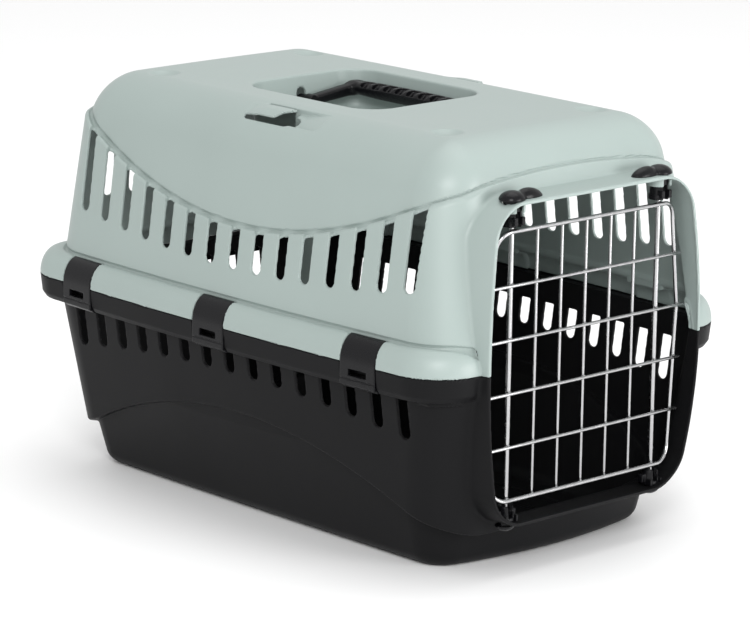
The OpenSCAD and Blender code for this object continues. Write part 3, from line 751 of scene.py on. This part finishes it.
for side, word in ((-1, "left"), (1, "right")):
    cx = side * ROD_X
    inner = sorted((cx + side * 13, cx - side * 32))
    solid_piece("visual_knob_" + word, knob_field(side), (inner[0], PIVOT_Y - 14, KNOB_LOW - 2),
                (inner[1], PIVOT_Y + 14, KNOB_BASE + 13), 0.5, "knob_" + word, "door_knob_" + word)
    solid_piece("visual_foot_" + word, foot_field(side), (cx - 12, PIVOT_Y - 10, SILL - 7),
                (cx + 12, PIVOT_Y + 10, FOOT_FLOOR + 14), 0.5, "root", "door_foot_" + word)
    for k, place in ((-1, "front"), (0, "middle"), (1, "rear")):
        y = CLIP_Y + k * CLIP_PITCH
        edge = side * flange_x(y)
        across = sorted((edge + side * 4, edge - side * 19))
        solid_piece("visual_clip_%s_%s" % (word, place), clip_field(side, k),
                    (across[0], y - 23, HINGE_Z - 6), (across[1], y + 23, PART + FLANGE_UP + 2), 0.7,
                    "clip_%s_%s" % (place, word), "clip_%s_%s" % (word, place))
solid_piece("visual_handle", handle_field, (-8, GRIP_Y0 - 9, 283), (58, GRIP_Y1 + 8, 308), 0.7,
            "handle", "carry_handle")


# ------------------------------------------------------------------ door wires
SIDES = 16


def tube(path, radius, closed=False):
    """Points and faces of round wire along a path, with rounded ends when it is open."""
    path = np.asarray(path, float)
    if closed:
        ahead, behind = np.roll(path, -1, 0), np.roll(path, 1, 0)
    else:
        ahead, behind = np.vstack([path[1:], path[-1:]]), np.vstack([path[:1], path[:-1]])
    along = ahead - behind
    along /= np.linalg.norm(along, axis=1)[:, None]
    first = np.cross(along, [0.0, 1.0, 0.0])
    first /= np.linalg.norm(first, axis=1)[:, None]
    second = np.cross(first, along)
    turn = np.arange(SIDES) * 2 * math.pi / SIDES
    rim = np.cos(turn)[None, :, None] * first[:, None] + np.sin(turn)[None, :, None] * second[:, None]
    rings = [(path[i], rim[i], radius) for i in range(len(path))]
    if not closed:
        caps = [(radius * math.cos(a), radius * math.sin(a)) for a in (0.5, 1.0, 1.35)]
        head = [(path[0] - along[0] * back, rim[0], r) for r, back in reversed(caps)]
        tail = [(path[-1] + along[-1] * back, rim[-1], r) for r, back in caps]
        rings = head + rings + tail
    points = np.concatenate([centre + r * ring for centre, ring, r in rings])
    faces = []
    total = len(rings)
    for i in range(total if closed else total - 1):
        j = (i + 1) % total
        for k in range(SIDES):
            n = (k + 1) % SIDES
            faces.append((i * SIDES + k, i * SIDES + n, j * SIDES + n, j * SIDES + k))
    return points, faces


def weld(centre, size):
    """Small flattened ball of weld metal."""
    rows, cols = 6, 10
    points, faces = [], []
    for i in range(rows + 1):
        a = math.pi * i / rows
        for j in range(cols):
            b = 2 * math.pi * j / cols
            points.append([centre[0] + size[0] * math.sin(a) * math.cos(b),
                           centre[1] + size[1] * math.cos(a),
                           centre[2] + size[2] * math.sin(a) * math.sin(b)])
    for i in range(rows):
        for j in range(cols):
            n = (j + 1) % cols
            faces.append((i * cols + j, (i + 1) * cols + j, (i + 1) * cols + n, i * cols + n))
    return np.array(points), faces


def wire_piece(name, parts, node):
    """One wire of the door, with its weld spots."""
    points, faces, base = [], [], 0
    for p, f in parts:
        points.append(p)
        faces.append(np.asarray(f) + base)
        base += len(p)
    points, faces = np.concatenate(points), np.concatenate(faces)
    piece = mesh_piece(name, points, faces, "door", STEEL, node)
    fix = bmesh.new()
    fix.from_mesh(piece.data)
    bmesh.ops.recalc_face_normals(fix, faces=fix.faces)
    fix.to_mesh(piece.data)
    fix.free()
    return piece


FRAME_D, BAR_D, ROD_D = 3.2, 2.4, 4.0
DOOR_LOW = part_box("door_frame")[0][2] / MM + FRAME_D / 2
DOOR_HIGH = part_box("door_frame")[1][2] / MM - FRAME_D / 2
WIDE_X, WIDE_Z, TOP_X, LOW_X = 98.0, 173.0, 91.0, 92.6
TOP_R, LOW_R = 13, 14
WELD_Y = PIVOT_Y - ROD_D / 2


def frame_x(z):
    """Half width of the outer wire at height z, widest at WIDE_Z."""
    if z > WIDE_Z:
        return WIDE_X + (TOP_X - WIDE_X) * (z - WIDE_Z) / (DOOR_HIGH - TOP_R - WIDE_Z)
    return WIDE_X + (LOW_X - WIDE_X) * (WIDE_Z - z) / (WIDE_Z - DOOR_LOW - LOW_R)


def frame_path():
    """Closed path of the door's outer wire: its sides stand behind the ends of the bars."""
    def corner(cx, cz, r, a0, a1, y0, y1, n=14):
        out = []
        for i in range(n + 1):
            a = math.radians(a0 + (a1 - a0) * i / n)
            s = (1 - math.cos(math.pi * i / n)) / 2
            out.append([cx + r * math.cos(a), y0 + (y1 - y0) * s, cz + r * math.sin(a)])
        return out

    ahead, behind = WELD_Y - FRAME_D / 2, WELD_Y + FRAME_D / 2
    xt, xb = TOP_X - TOP_R, LOW_X - LOW_R
    zt, zb = DOOR_HIGH - TOP_R, DOOR_LOW + LOW_R
    right = [[WIDE_X - 0.12 * t * t, behind, WIDE_Z + 3 * t] for t in range(2, -3, -1)]
    left = [[-p[0], p[1], p[2]] for p in reversed(right)]
    return (corner(xt, zt, TOP_R, 90, 0, ahead, behind) + right
            + corner(xb, zb, LOW_R, 0, -90, behind, ahead)
            + corner(-xb, zb, LOW_R, -90, -180, ahead, behind) + left
            + corner(-xt, zt, TOP_R, 180, 90, behind, ahead))


wire_piece("visual_door_frame", [tube(frame_path(), FRAME_D / 2, closed=True)], "door_frame")
BAR_PITCH = (DOOR_HIGH - DOOR_LOW) / 5
UPRIGHTS = [25.0 * i for i in range(-2, 3)]
for i in range(1, 5):
    z = DOOR_LOW + i * BAR_PITCH
    end = frame_x(z) + 3.4
    y = WELD_Y - BAR_D / 2
    parts = [tube([[-end, y, z], [-end / 2, y, z], [0, y, z], [end / 2, y, z], [end, y, z]], BAR_D / 2)]
    parts += [weld((x, WELD_Y, z), (1.7, 0.9, 1.7)) for x in UPRIGHTS]
    parts += [weld((s * ROD_X, WELD_Y, z), (1.9, 0.9, 1.9)) for s in (-1, 1)]
    parts += [weld((s * frame_x(z), WELD_Y, z), (1.9, 1.0, 1.9)) for s in (-1, 1)]
    wire_piece("visual_door_bar_%d" % i, parts, "door_bar_%d" % i)
for i, x in enumerate(UPRIGHTS):
    y = WELD_Y + BAR_D / 2
    ends = (DOOR_LOW + 0.2, (DOOR_LOW + DOOR_HIGH) / 2, DOOR_HIGH - 0.2)
    parts = [tube([[x, y, z] for z in ends], BAR_D / 2)]
    parts += [weld((x, WELD_Y, z), (1.8, 1.1, 1.8)) for z in (DOOR_LOW, DOOR_HIGH)]
    wire_piece("visual_door_upright_%d" % (i + 1), parts, "door_upright_%d" % (i + 1))
for side, word in ((-1, "left"), (1, "right")):
    x = side * ROD_X
    parts = [tube([[x, PIVOT_Y, z] for z in (ROD_LOW + 1.6, 150, ROD_TOP - 1.6)], ROD_D / 2)]
    parts += [weld((x, WELD_Y, z), (2.2, 1.2, 2.0)) for z in (DOOR_LOW, DOOR_HIGH)]
    wire_piece("visual_door_rod_" + word, parts, "door_rod_" + word)


# ------------------------------------------------------------------ floor, light and camera
def make_floor():
    """Plain pale floor under the object."""
    mesh = bpy.data.meshes.new("floor")
    size, z = 6.0, float(LOW[2]) * MM
    corners = [(-size, -size, z), (size, -size, z), (size, size, z), (-size, size, z)]
    mesh.from_pydata(corners, [], [(0, 1, 2, 3)])
    floor = bpy.data.objects.new("floor", mesh)
    bpy.context.scene.collection.objects.link(floor)
    material = bpy.data.materials.new("pale_floor")
    material.use_nodes = True
    shader = material.node_tree.nodes["Principled BSDF"]
    shader.inputs["Base Color"].default_value = (0.97, 0.97, 0.97, 1)
    shader.inputs["Roughness"].default_value = 0.6
    mesh.materials.append(material)
    floor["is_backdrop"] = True


def make_lights():
    """White surroundings and three soft lamps, all aimed at the middle of the object."""
    world = bpy.data.worlds.new("studio")
    bpy.context.scene.world = world
    world.use_nodes = True
    back = world.node_tree.nodes["Background"]
    back.inputs["Color"].default_value = (1, 1, 1, 1)
    back.inputs["Strength"].default_value = 0.86
    centre = Vector((0, 0, 0.15))
    for name, place, size, power in (
        ("key", (-1.72, -1.9, 1.6), 0.9, 34.0),
        ("top", (0.4, 0.1, 2.7), 2.2, 22.0),
        ("front", (0.9, -2.5, 0.45), 1.2, 35.0),
    ):
        light = bpy.data.lights.new(name, "AREA")
        light.size = size
        light.energy = power
        lamp = bpy.data.objects.new(name, light)
        lamp.location = place
        lamp.rotation_euler = (centre - Vector(place)).to_track_quat("-Z", "Y").to_euler()
        bpy.context.scene.collection.objects.link(lamp)


CAMERA_AZIMUTH, CAMERA_ELEVATION, CAMERA_ROLL, CAMERA_AWAY = -42.97, 13.39, 0.85, 2.8823
CAMERA_TARGET = (0, -0.007, 0.1466)


def make_camera():
    """Long lens from the front left and a little above, rolled slightly."""
    camera = bpy.data.cameras.new("camera")
    camera.lens = 180.87
    camera.sensor_width = 36.0
    camera.shift_x, camera.shift_y = -0.0036, -0.0074
    camera.clip_start, camera.clip_end = 0.1, 60.0
    eye = bpy.data.objects.new("camera", camera)
    azimuth, elevation = math.radians(CAMERA_AZIMUTH), math.radians(CAMERA_ELEVATION)
    away = Vector((math.sin(azimuth) * math.cos(elevation), -math.cos(azimuth) * math.cos(elevation),
                   math.sin(elevation)))
    turn = away.to_track_quat("Z", "Y").to_matrix().to_4x4()
    turn = turn @ Matrix.Rotation(math.radians(CAMERA_ROLL), 4, "Z")
    eye.matrix_world = Matrix.Translation(Vector(CAMERA_TARGET) + away * CAMERA_AWAY) @ turn
    bpy.context.scene.collection.objects.link(eye)
    bpy.context.scene.camera = eye


make_floor()
make_lights()
make_camera()
bpy.context.scene.view_settings.view_transform = "Standard"
